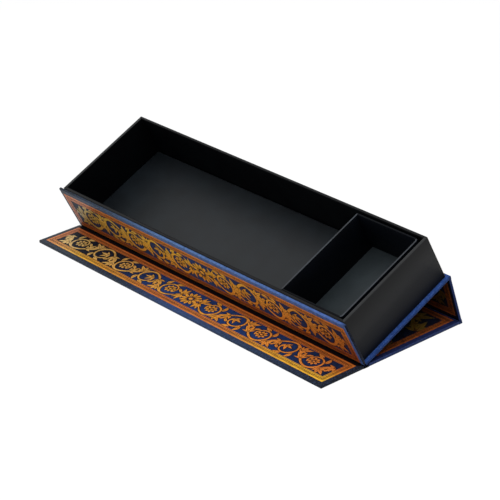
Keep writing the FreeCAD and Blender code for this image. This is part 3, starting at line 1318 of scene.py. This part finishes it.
@dataclass(frozen=True)
class Panel:
    """One board of the cover in its printed wrap, with the foil that is stamped on it."""

    name: str
    body: str
    place: PanelFrame
    field_paper: PrintedPaper
    edge_paper: PrintedPaper
    border_foil: StampedFoil
    vine_foil: StampedFoil
    vine: VineScroll
    low_edge: PanelEdge = PanelEdge.FREE
    high_edge: PanelEdge = PanelEdge.FREE
    end_margin: float = 2.0
    low_margin: float = 2.0
    high_margin: float = 2.0
    border: FoilBorder = FoilBorder()
    margin_paper: Optional[PrintedPaper] = None
    groove_side: Optional[Side] = None
    edge_radius: float = 0.3
    paper_t: float = 0.2
    turn_in: float = 3.5
    seam: float = 0.01
    border_lap: float = 0.3
    margin_facing: float = 0.95
    end_facing: float = 0.5
    vine_room: float = 0.1
    vine_relief: float = 0.06
    vein_share: float = 0.22
    vein_relief: float = 0.6
    outline: float = 0.3
    outline_relief: float = 0.01

    def build(self) -> None:
        """Make the wrap, the border and the vine with its veins and outlines, to ride with the panel."""
        box = self.wrap_box()
        matrix = self.place.matrix()
        margin = self.margin_paper or self.edge_paper
        papers = (self.field_paper, self.edge_paper, margin, GROOVE_PAPER, BORDER_GROUND)
        wrap = add_piece(f"{self.name}_wrap_skin", self.wrap_shape(box), matrix, papers)
        thicken(wrap, self.paper_t)
        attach(wrap, self.body)
        stand_in(f"{self.name}_wrap")
        printed = self.printed_field(box)
        border = self.border.shape(printed)
        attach(add_piece(f"{self.name}_border_foil", border, matrix, (self.border_foil,)), self.body)
        room = 2 * (self.border.width + self.vine_room)
        strokes = self.vine.strokes(printed.size.x - room, printed.size.y - room)
        veins = [stroke.vein(self.vein_share) for stroke in strokes if stroke.veined]
        outlines = [stroke.widened(self.outline) for stroke in strokes]
        stamps = (
            ("vine_foil", strokes, self.vine_relief, self.vine_foil),
            ("vein_foil", veins, self.vein_relief, VEIN_FOIL),
            ("outline_ink", outlines, self.outline_relief, OUTLINE_INK),
        )
        for kind, drawn, relief, finish in stamps:
            shape = self.stamped(printed, drawn, relief)
            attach(add_piece(f"{self.name}_{kind}", shape, matrix, (finish,), FOIL_CRISP), self.body)

    def wrap_box(self) -> Box:
        """Measure the wrap, whose turned-in edge is level with the lining.

        Returns:
            The wrap's box, as thick as the panel with its lining.
        """
        box = self.place.box(f"{self.name}_wrap")
        lining = f"{self.name}_lining"
        if lining not in frame["nodes"]:
            return box
        return Box(box.low, Vector((box.high.x, box.high.y, self.place.box(lining).high.z)))

    def wrap_shape(self, box: Box) -> Shape:
        """Shape the wrap as a skin over the board, open where the lining covers it.

        Args:
            box: The wrap's box along the panel's axes.

        Returns:
            The skin, with its papers in the slots of WrapSlot.
        """
        shape = box_shape(box)
        kept = [edge for edge in shape.edges if not self.at_hinge(edge, box)]
        round_edges(shape, kept, self.edge_radius)
        self.open_inside(shape, box)
        shape.normal_update()
        field_face = min(shape.faces, key=lambda face: face.normal.z * face.calc_area())
        bmesh.ops.inset_region(shape, faces=[field_face], thickness=self.turn_in, use_even_offset=True)
        printed = self.printed_field(box)
        lap = self.border_lap
        for vertex in field_face.verts:
            at = vertex.co
            at.x = printed.low.x + lap if at.x < box.centre.x else printed.high.x - lap
            at.y = printed.low.y + lap if at.y < box.centre.y else printed.high.y - lap
        shape.normal_update()
        for face in shape.faces:
            face.material_index = self.slot_of(face, printed)
        width = self.border.width - lap
        ground = bmesh.ops.inset_region(shape, faces=[field_face], thickness=width, use_even_offset=True)
        for face in ground["faces"]:
            face.material_index = WrapSlot.GROUND
        field_face.material_index = WrapSlot.FIELD
        return shape

    def slot_of(self, face: bmesh.types.BMFace, printed: Box) -> WrapSlot:
        """Pick the paper of a face of the wrap outside the border.

        Args:
            face: The face.
            printed: The printed face inside its margins.

        Returns:
            The groove's paper, dark as painted shade, on the side that sits in the stand's groove, else the
            margin's or edge's.
        """
        if self.groove_side is not None and abs(face.normal.x) <= self.end_facing:
            off = (face.calc_center_median().y - printed.centre.y) * self.groove_side.value
            if off > printed.size.y / 2:
                return WrapSlot.GROOVE
        return WrapSlot.MARGIN if face.normal.z < -self.margin_facing else WrapSlot.EDGE

    def open_inside(self, shape: Shape, box: Box) -> None:
        """Cut the wrap open where the lining lies, which runs right up to the panel's hinges.

        Args:
            shape: The wrap so far, still closed.
            box: The wrap's box along the panel's axes.
        """
        shape.normal_update()
        inner = max(shape.faces, key=lambda face: face.normal.z * face.calc_area())
        reach = self.turn_in - self.edge_radius
        bmesh.ops.inset_region(shape, faces=[inner], thickness=reach, use_even_offset=True)
        for vertex in inner.verts:
            low = vertex.co.y < box.centre.y
            if (self.low_edge if low else self.high_edge) is not PanelEdge.FREE:
                vertex.co.y = box.low.y + self.seam if low else box.high.y - self.seam
        bmesh.ops.delete(shape, geom=[inner], context="FACES")

    def at_hinge(self, edge: bmesh.types.BMEdge, box: Box) -> bool:
        """Tell whether an edge lies at a paper hinge, where the wrap runs on and isn't turned over.

        Args:
            edge: The edge.
            box: The wrap's box along the panel's axes.

        Returns:
            Whether it does.
        """
        middle = (edge.verts[0].co + edge.verts[1].co) / 2
        inside = math.isclose(middle.z, box.high.z, abs_tol=TOUCHING)
        for kind, level in ((self.low_edge, box.low.y), (self.high_edge, box.high.y)):
            if math.isclose(middle.y, level, abs_tol=TOUCHING):
                return kind is PanelEdge.CREASE or (kind is PanelEdge.STRIP and inside)
        return False

    def printed_field(self, box: Box) -> Box:
        """Give the printed face inside its margins.

        Args:
            box: The wrapped panel.

        Returns:
            The field, whose printed face is at the low h.
        """
        low = Vector((box.low.x + self.end_margin, box.low.y + self.low_margin, box.low.z))
        high = Vector((box.high.x - self.end_margin, box.high.y - self.high_margin, box.high.z))
        return Box(low, high)

    def stamped(self, printed: Box, strokes: Sequence[Stroke], relief: float) -> Shape:
        """Shape strokes as foil that is half sunk in the printed face.

        Args:
            printed: The printed face inside its margins.
            strokes: The strokes, about the middle of the face.
            relief: Height of a stroke as a share of its half width.

        Returns:
            Their shape.
        """
        shape = stroke_shape(strokes, relief)
        place = (printed.centre.x, printed.centre.y, printed.low.z)
        bmesh.ops.translate(shape, verts=shape.verts[:], vec=place)
        face_outwards(shape)
        return shape


@dataclass(frozen=True)
class HingeLayer:
    """One of the two papers that are glued together in a hinge, between two heights over the hinge line."""

    inner: float
    outer: float
    spans: tuple[tuple[float, float], ...]
    slot: int
    bend_steps: int = 4

    def bent_end(self, half_fold: float, way: float) -> Section:
        """Draw the layer's section round a crease, from its outside to its inside.

        Args:
            half_fold: How far the fold turns on this side.
            way: -1 for the panel before the crease, 1 for the one after it.

        Returns:
            The section's corners, as s and h.
        """
        angles = [half_fold * i / self.bend_steps for i in range(self.bend_steps + 1)]
        outside = [(-way * self.outer * math.sin(a), self.outer * math.cos(a)) for a in angles]
        if not self.inner:
            return [*outside, (0.0, 0.0)]
        inside = [(-way * self.inner * math.sin(a), self.inner * math.cos(a)) for a in reversed(angles)]
        return outside + inside

    def extrude(self, shape: Shape, section: Section) -> None:
        """Draw a section of the layer out along the case.

        Args:
            shape: The shape that gets the layer.
            section: The corners of the section, in s and h.
        """
        for start, end in self.spans:
            face = shape.faces.new([shape.verts.new((start, s, h)) for s, h in section])
            face.material_index = self.slot
            draw_out(shape, [face], (end - start, 0.0, 0.0))


@dataclass(frozen=True)
class PaperHinge:
    """A hinge where wrap and lining are glued together and run on without a board."""

    node: str
    paper_t: float = 0.2
    lining_margin: float = 3.5
    mitre_gap: float = 0.1
    bend_reach: float = 1.2
    bend_steps: int = 6

    def layers(self) -> tuple[HingeLayer, HingeLayer, HingeLayer]:
        """Give the layers of the hinge.

        Returns:
            The wrap's layer, the lining's, and the turned-in wrap at the lining's two ends.
        """
        end = HALF_CASE - self.lining_margin
        return (
            HingeLayer(0.0, self.paper_t, ((-HALF_CASE, HALF_CASE),), 0),
            HingeLayer(self.paper_t, 2 * self.paper_t, ((-end, end),), 1),
            HingeLayer(self.paper_t, 2 * self.paper_t, ((-HALF_CASE, -end), (end, HALF_CASE)), 0),
        )

    def build_leg(self, name: str, panel: Panel, place: PanelFrame, fold: float, way: float) -> None:
        """Make one side of a creased hinge: the lining, and the wrap over the mitred edge of the board.

        Args:
            name: The piece's name.
            panel: The panel on this side, which the piece turns with.
            place: The panel's frame, with the crease at its origin.
            fold: How far the hinge is folded back at rest.
            way: -1 for the panel before the crease, 1 for the one after it.
        """
        box = place.box(f"{panel.name}_wrap")
        edge = box.high.y if way < 0 else box.low.y
        depth = box.low.z
        mitre = way * (self.mitre_gap - depth * math.tan(-fold / 2))
        wrap, *inside = self.layers()
        shape = bmesh.new()
        board_end = [(mitre, depth), (edge, depth)]
        wrap.extrude(shape, [(edge, wrap.outer), *wrap.bent_end(-fold / 2, way), *board_end])
        for layer in inside:
            bent = layer.bent_end(-fold / 2, way)
            layer.extrude(shape, [(edge, layer.outer), *bent, (edge, layer.inner)])
        face_outwards(shape)
        leg = add_piece(name, shape, place.matrix(), (panel.edge_paper, LINING_PAPER))
        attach(leg, panel.body)
        stand_in(self.node)

    def build_flat(self, name: str, place: PanelFrame, reach: Section) -> None:
        """Make a hinge that lies flat at rest, as one strip cut across into narrow bands.

        Args:
            name: The piece's name.
            place: The frame of the panel after it, with the hinge line at its origin.
            reach: The edges of the first panel and the second, across the hinge line.
        """
        before, after = reach
        shape = bmesh.new()
        for layer in self.layers():
            low = [(before, layer.inner), (after, layer.inner)]
            layer.extrude(shape, [*low, (after, layer.outer), (before, layer.outer)])
        for i in range(-self.bend_steps, self.bend_steps + 1):
            station = (0.0, self.bend_reach * i / self.bend_steps, 0.0)
            everything = [*shape.verts, *shape.edges, *shape.faces]
            bmesh.ops.bisect_plane(shape, geom=everything, plane_co=station, plane_no=(0.0, 1.0, 0.0))
        face_outwards(shape)
        # The strip's outside takes the groove's painted shade
        strip = add_piece(name, shape, place.matrix(), (GROOVE_PAPER, LINING_PAPER))
        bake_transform(strip)
        stand_in(self.node)


@dataclass
class Cover:
    """The wraparound cover: five wrapped boards and the three paper hinges between them."""

    layout: CaseLayout
    panels: dict[str, Panel] = field(default_factory=dict)

    def __post_init__(self) -> None:
        """Set out the five panels, each with its own inks and vine."""
        strip_vine = VineScroll(centre_room=1.0)
        heavy_vine = VineScroll(pitch=2.4, stem_half=0.11, leaf_half=0.25, outer_leaves=5, centre_room=1.0)
        wide_vine = VineScroll(rows=2)
        layout = self.layout
        flap = Panel(
            "flap", "flap", layout.flap, FLAP_PRINT, FLAP_EDGE, BRIGHT_FOIL, GOLD_FOIL, strip_vine,
            low_edge=PanelEdge.STRIP, groove_side=Side.LOW,
            end_margin=2.7, low_margin=2.55, high_margin=2.9,
        )
        front = Panel(
            "front", "tray", layout.front, FRONT_PRINT, FRONT_EDGE, COPPER_FOIL, AMBER_FOIL, heavy_vine,
            margin_paper=FRONT_MARGIN, groove_side=Side.HIGH,
            end_margin=2.2, low_margin=2.9, high_margin=1.7,
        )
        base = Panel(
            "base", "tray", layout.base, BASE_PRINT, BASE_EDGE, SHADED_COPPER_FOIL, SHADED_GOLD_FOIL, wide_vine,
            high_edge=PanelEdge.CREASE, groove_side=Side.LOW,
            end_margin=3.0,
        )
        spine = Panel(
            "spine", "spine", layout.spine, SPINE_PRINT_SHADED, SPINE_EDGE, SHADED_COPPER_FOIL, SHADED_GOLD_FOIL,
            strip_vine,
            low_edge=PanelEdge.CREASE, high_edge=PanelEdge.CREASE, margin_paper=SPINE_MARGIN_SHADED,
            end_margin=1.9, low_margin=1.9, high_margin=2.3,
        )
        lid = Panel(
            "lid", "lid", layout.lid, LID_PRINT_SHADED, LID_EDGE, SHADED_COPPER_FOIL, SHADED_GOLD_FOIL, wide_vine,
            low_edge=PanelEdge.CREASE, high_edge=PanelEdge.STRIP, margin_paper=LID_MARGIN,
            end_margin=3.0, low_margin=0.8,
        )
        self.panels = {panel.name: panel for panel in (flap, front, base, spine, lid)}

    def build(self) -> None:
        """Make every panel, then the hinges between them."""
        for panel in self.panels.values():
            panel.build()
        self.build_hinges()

    def build_hinges(self) -> None:
        """Make the two creased hinges in two legs each, and the flap's hinge as one strip."""
        layout = self.layout
        base, spine, lid = (self.panels[name] for name in ("base", "spine", "lid"))
        spine_end = PanelFrame(layout.lid.across, layout.lid.height, layout.spine.turn)
        back = PaperHinge("base_spine_hinge")
        back.build_leg("base_spine_crease_low", base, layout.base, layout.spine_fold, -1.0)
        back.build_leg("base_spine_crease_high", spine, layout.spine, layout.spine_fold, 1.0)
        foot = PaperHinge("spine_lid_hinge")
        foot.build_leg("spine_lid_crease_low", spine, spine_end, layout.lid_fold, -1.0)
        foot.build_leg("spine_lid_crease_high", lid, layout.lid, layout.lid_fold, 1.0)
        reach = (layout.flap.box("lid_wrap").high.y, layout.flap.box("flap_wrap").low.y)
        PaperHinge("lid_flap_hinge").build_flat("lid_flap_strip", layout.flap, reach)


@dataclass
class Tray:
    """The paper-covered tray that the pens lie in, with the card on its floor."""

    place: PanelFrame
    paper_t: float = 0.2
    rim_radius: float = 0.35
    floor_turn_in: float = 6.0
    card_radius: float = 0.7

    def build(self) -> None:
        """Make the tray's paper skin and its floor card."""
        matrix = self.place.matrix()
        skin = add_piece("tray_paper_skin", self.skin_shape(), matrix, (TRAY_PAPER, WELL_PAPER, RIM_PAPER))
        thicken(skin, self.paper_t)
        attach(skin, "tray")
        stand_in("tray_paper")
        card = add_piece("tray_floor_sheet", self.card_shape(), matrix, (FLOOR_CARD,))
        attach(card, "tray")
        stand_in("tray_floor_card")

    def skin_shape(self) -> Shape:
        """Shape the paper that runs up the outside, over the rim and down the inside.

        Returns:
            The open skin: its outside in slot 0, its inside in slot 1, darker as painted shade, and the rim
                at its two ends in slot 2, paler as a painted highlight.
        """
        outer = self.place.box("tray_paper")
        wall_t = self.place.box("tray_left_wall").size.x + 2 * self.paper_t
        floor = self.place.box("tray_floor_board").high.z
        shape = box_shape(outer)
        shape.normal_update()
        top = next(face for face in shape.faces if face.normal.z > FACING)
        bottom = next(face for face in shape.faces if face.normal.z < -FACING)
        bmesh.ops.inset_region(shape, faces=[top], thickness=wall_t, use_even_offset=True)
        made = draw_out(shape, [top], (0.0, 0.0, floor - outer.high.z))
        well = next(part for part in made if isinstance(part, bmesh.types.BMFace))
        bmesh.ops.inset_region(shape, faces=[well], thickness=self.floor_turn_in, use_even_offset=True)
        bmesh.ops.delete(shape, geom=[well, bottom, top], context="FACES_ONLY")
        shape.normal_update()
        inner_edges = (edge for edge in shape.edges if not edge.is_boundary)
        folds = [edge for edge in inner_edges if edge.calc_face_angle() > RIGHT_ANGLE / 2]
        round_edges(shape, folds, self.rim_radius)
        reach = outer.size / 2 - Vector((wall_t, wall_t, self.rim_radius))
        for face in shape.faces:
            off = face.calc_center_median() - outer.centre
            inside = abs(off.x) < reach.x + self.rim_radius and abs(off.y) < reach.y + self.rim_radius
            at_end = off.z > reach.z and abs(off.y) < reach.y
            # Inside faces take the painted shade, and the rim at the two ends the painted highlight
            face.material_index = 2 if at_end else int(inside)
        return shape

    def card_shape(self) -> Shape:
        """Shape the floor card, with a soft edge round its upper face.

        Returns:
            The card's closed shape.
        """
        shape = box_shape(self.place.box("tray_floor_card"))
        shape.normal_update()
        top = next(face for face in shape.faces if face.normal.z > FACING)
        round_edges(shape, top.edges, self.card_radius)
        return shape


@dataclass
class Insert:
    """The loose card box that parts the end of the tray off."""

    place: PanelFrame
    fold_radius: float = 0.6
    end_radius: float = 2.0
    corner_steps: int = 6
    card_t: float = 0.8
    rim_radius: float = 0.2
    rim_steps: int = 2
    rim_angle: float = math.radians(50)

    def build(self) -> None:
        """Make the insert's folded band."""
        # The end walls' cut edges take the painted highlight; the long sides' stay dark
        finishes = (INSERT_CARD, INSERT_RIM, INSERT_CARD, INSERT_CARD)
        band = add_piece("insert_band_card", self.band_shape(), self.place.matrix(), finishes)
        thicken(band, self.card_t, rim_slot=1)
        rim = band.modifiers.new("rim", "BEVEL")
        rim.width = self.rim_radius * MM
        rim.segments = self.rim_steps
        rim.limit_method = "ANGLE"
        rim.angle_limit = self.rim_angle
        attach(band, "insert")
        stand_in("insert_band")

    def band_shape(self) -> Shape:
        """Shape the band as four walls, open above and below, with tight corners at the divider only.

        Returns:
            The band's outside, with its two long sides in slot 2, so that their cut edges stay dark, while
            the cut edges of its end walls take a painted highlight.
        """
        box = self.place.box("insert_band")
        shape = box_shape(box)
        for end, radius in ((box.low.x, self.fold_radius), (box.high.x, self.end_radius)):
            corners = [edge for edge in shape.edges if self.is_upright(edge, box, end)]
            round_edges(shape, corners, radius, self.corner_steps)
        shape.normal_update()
        ends = [face for face in shape.faces if abs(face.normal.z) > FACING]
        bmesh.ops.delete(shape, geom=ends, context="FACES_ONLY")
        for face in shape.faces:
            face.material_index = 2 if abs(face.normal.y) > FACING else 0
        return shape

    def is_upright(self, edge: bmesh.types.BMEdge, box: Box, end: float) -> bool:
        """Tell whether an edge is an upright corner of a box.

        Args:
            edge: The edge.
            box: The box.
            end: The x of the end of the box that counts.

        Returns:
            True for an upright corner at that end.
        """
        first, last = (vertex.co for vertex in edge.verts)
        upright = abs(first.z - last.z) > box.size.z / 2
        return upright and math.isclose((first.x + last.x) / 2, end, abs_tol=TOUCHING)


@dataclass(frozen=True)
class SoftLamp:
    """A square soft lamp that looks at the case, placed in metres."""

    name: str
    watts: float
    size: float
    place: Vector

    def build(self) -> None:
        """Hang the lamp."""
        light = bpy.data.lights.new(self.name, "AREA")
        light.shape = "SQUARE"
        light.size = self.size
        light.energy = self.watts
        lamp = bpy.data.objects.new(self.name, light)
        lamp.location = self.place
        lamp.rotation_euler = self.place.to_track_quat("Z", "Y").to_euler()
        lamp.visible_glossy = False
        bpy.context.scene.collection.objects.link(lamp)


@dataclass
class Studio:
    """A white sweep, three soft lamps and the camera. The floor and the clip distances are in metres."""

    camera_azimuth: float = 51.4169
    camera_elevation: float = 25.4329
    camera_roll: float = -3.2615
    camera_distance: float = 1096.9566
    camera_right: float = 6.03
    camera_up: float = -2.05
    aim_height: float = 20.0
    focal_px: float = 2137.32
    frame_px: float = 500.0
    sensor_mm: float = 36.0
    clip_near: float = 0.05
    clip_far: float = 20.0
    ambient: float = 0.08
    floor_glow: float = 0.9
    floor_seen: str = "6a6a6a"
    floor_bounce: str = "484848"
    floor_reach: float = 6.0
    floor_drop: float = 0.00005
    lamps: tuple[SoftLamp, ...] = (
        SoftLamp("top_softbox", 20.0, 1.4, Vector((0.45, -0.25, 1.25))),
        SoftLamp("front_softbox", 8.0, 0.9, Vector((-0.25, -1.1, 0.5))),
        SoftLamp("right_softbox", 1.0, 0.3, Vector((1.2, -0.3, 0.1))),
    )

    def build(self) -> None:
        """Make the floor, the world, the lamps and the camera."""
        self.build_floor()
        self.build_world()
        for lamp in self.lamps:
            lamp.build()
        self.build_camera()

    def parted(self, tree: Tree, unseen: Socket, seen: Socket) -> Socket:
        """Wire one shader for light that bounces, and another for the camera, mirrors and glass.

        Args:
            tree: The node tree.
            unseen: The shader that lights the case.
            seen: The shader that is looked at.

        Returns:
            The socket of both.
        """
        path = add_node(tree, "ShaderNodeLightPath").outputs
        rays = {0: path["Is Glossy Ray"], 1: path["Is Transmission Ray"]}
        mirrors = add_node(tree, "ShaderNodeMath", rays, operation="MAXIMUM").outputs["Value"]
        looks = {0: path["Is Camera Ray"], 1: mirrors}
        share = add_node(tree, "ShaderNodeMath", looks, operation="MAXIMUM").outputs["Value"]
        return add_node(tree, "ShaderNodeMixShader", {0: share, 1: unseen, 2: seen}).outputs["Shader"]

    def build_floor(self) -> None:
        """Make the white floor, which keeps a faint shadow."""
        shape = bmesh.new()
        bmesh.ops.create_grid(shape, x_segments=1, y_segments=1, size=self.floor_reach)
        mesh = bpy.data.meshes.new("floor")
        shape.to_mesh(mesh)
        shape.free()
        floor = bpy.data.objects.new("floor", mesh)
        floor.location.z = -self.floor_drop
        bpy.context.scene.collection.objects.link(floor)
        paper = bpy.data.materials.new("white_sweep")
        paper.use_nodes = True
        tree = paper.node_tree
        tree.nodes.clear()
        bounce = add_node(tree, "ShaderNodeBsdfDiffuse", {"Color": srgb(self.floor_bounce)}).outputs["BSDF"]
        faint = add_node(tree, "ShaderNodeBsdfDiffuse", {"Color": srgb(self.floor_seen)}).outputs["BSDF"]
        glow = add_node(tree, "ShaderNodeEmission", {"Strength": self.floor_glow}).outputs["Emission"]
        lit = add_node(tree, "ShaderNodeAddShader", {0: faint, 1: glow}).outputs["Shader"]
        add_node(tree, "ShaderNodeOutputMaterial", {"Surface": self.parted(tree, bounce, lit)})
        mesh.materials.append(paper)

    def build_world(self) -> None:
        """Make the world white to look at and a plain grey to light by."""
        world = bpy.data.worlds.new("studio")
        bpy.context.scene.world = world
        world.use_nodes = True
        tree = world.node_tree
        tree.nodes.clear()
        light, white = (
            add_node(tree, "ShaderNodeBackground", {"Color": srgb("ffffff"), "Strength": strength})
            for strength in (self.ambient, 1.0)
        )
        both = self.parted(tree, light.outputs["Background"], white.outputs["Background"])
        add_node(tree, "ShaderNodeOutputWorld", {"Surface": both})

    def build_camera(self) -> None:
        """Set the camera at the photograph's angle, distance and lens."""
        angles = (self.camera_azimuth, self.camera_elevation, self.camera_roll)
        azimuth, elevation, roll = (math.radians(angle) for angle in angles)
        flat = math.cos(elevation)
        back = Vector((math.sin(azimuth) * flat, -math.cos(azimuth) * flat, math.sin(elevation)))
        level = (-back).cross(Vector((0.0, 0.0, 1.0))).normalized()
        upright = level.cross(-back)
        right = level * math.cos(roll) + upright * math.sin(roll)
        up = upright * math.cos(roll) - level * math.sin(roll)
        place = back * self.camera_distance + right * self.camera_right + up * self.camera_up
        place = (place + Vector((0.0, 0.0, self.aim_height))) * MM
        lens = bpy.data.cameras.new("camera")
        lens.sensor_width = self.sensor_mm
        lens.lens = self.focal_px * self.sensor_mm / self.frame_px
        lens.clip_start = self.clip_near
        lens.clip_end = self.clip_far
        camera = bpy.data.objects.new("camera", lens)
        camera.matrix_world = Matrix.Translation(place) @ Matrix((right, up, back)).transposed().to_4x4()
        bpy.context.scene.collection.objects.link(camera)
        bpy.context.scene.camera = camera


def dress_nodes() -> None:
    """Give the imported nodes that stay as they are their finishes."""
    for finish, names in PLAIN_NODES.items():
        for name in names:
            for slot in frame["nodes"][name].material_slots:
                slot.material = finish.material()
            log.info("%s: %s", name, finish.name)


def main() -> None:
    """Build the case and its studio."""
    logging.basicConfig(level=logging.INFO, format="%(message)s")
    bpy.context.scene.view_settings.view_transform = "Standard"
    layout = CaseLayout.from_joints()
    dress_nodes()
    Cover(layout).build()
    Tray(layout.base).build()
    Insert(layout.base).build()
    Studio().build()


if __name__ == "__main__":
    main()
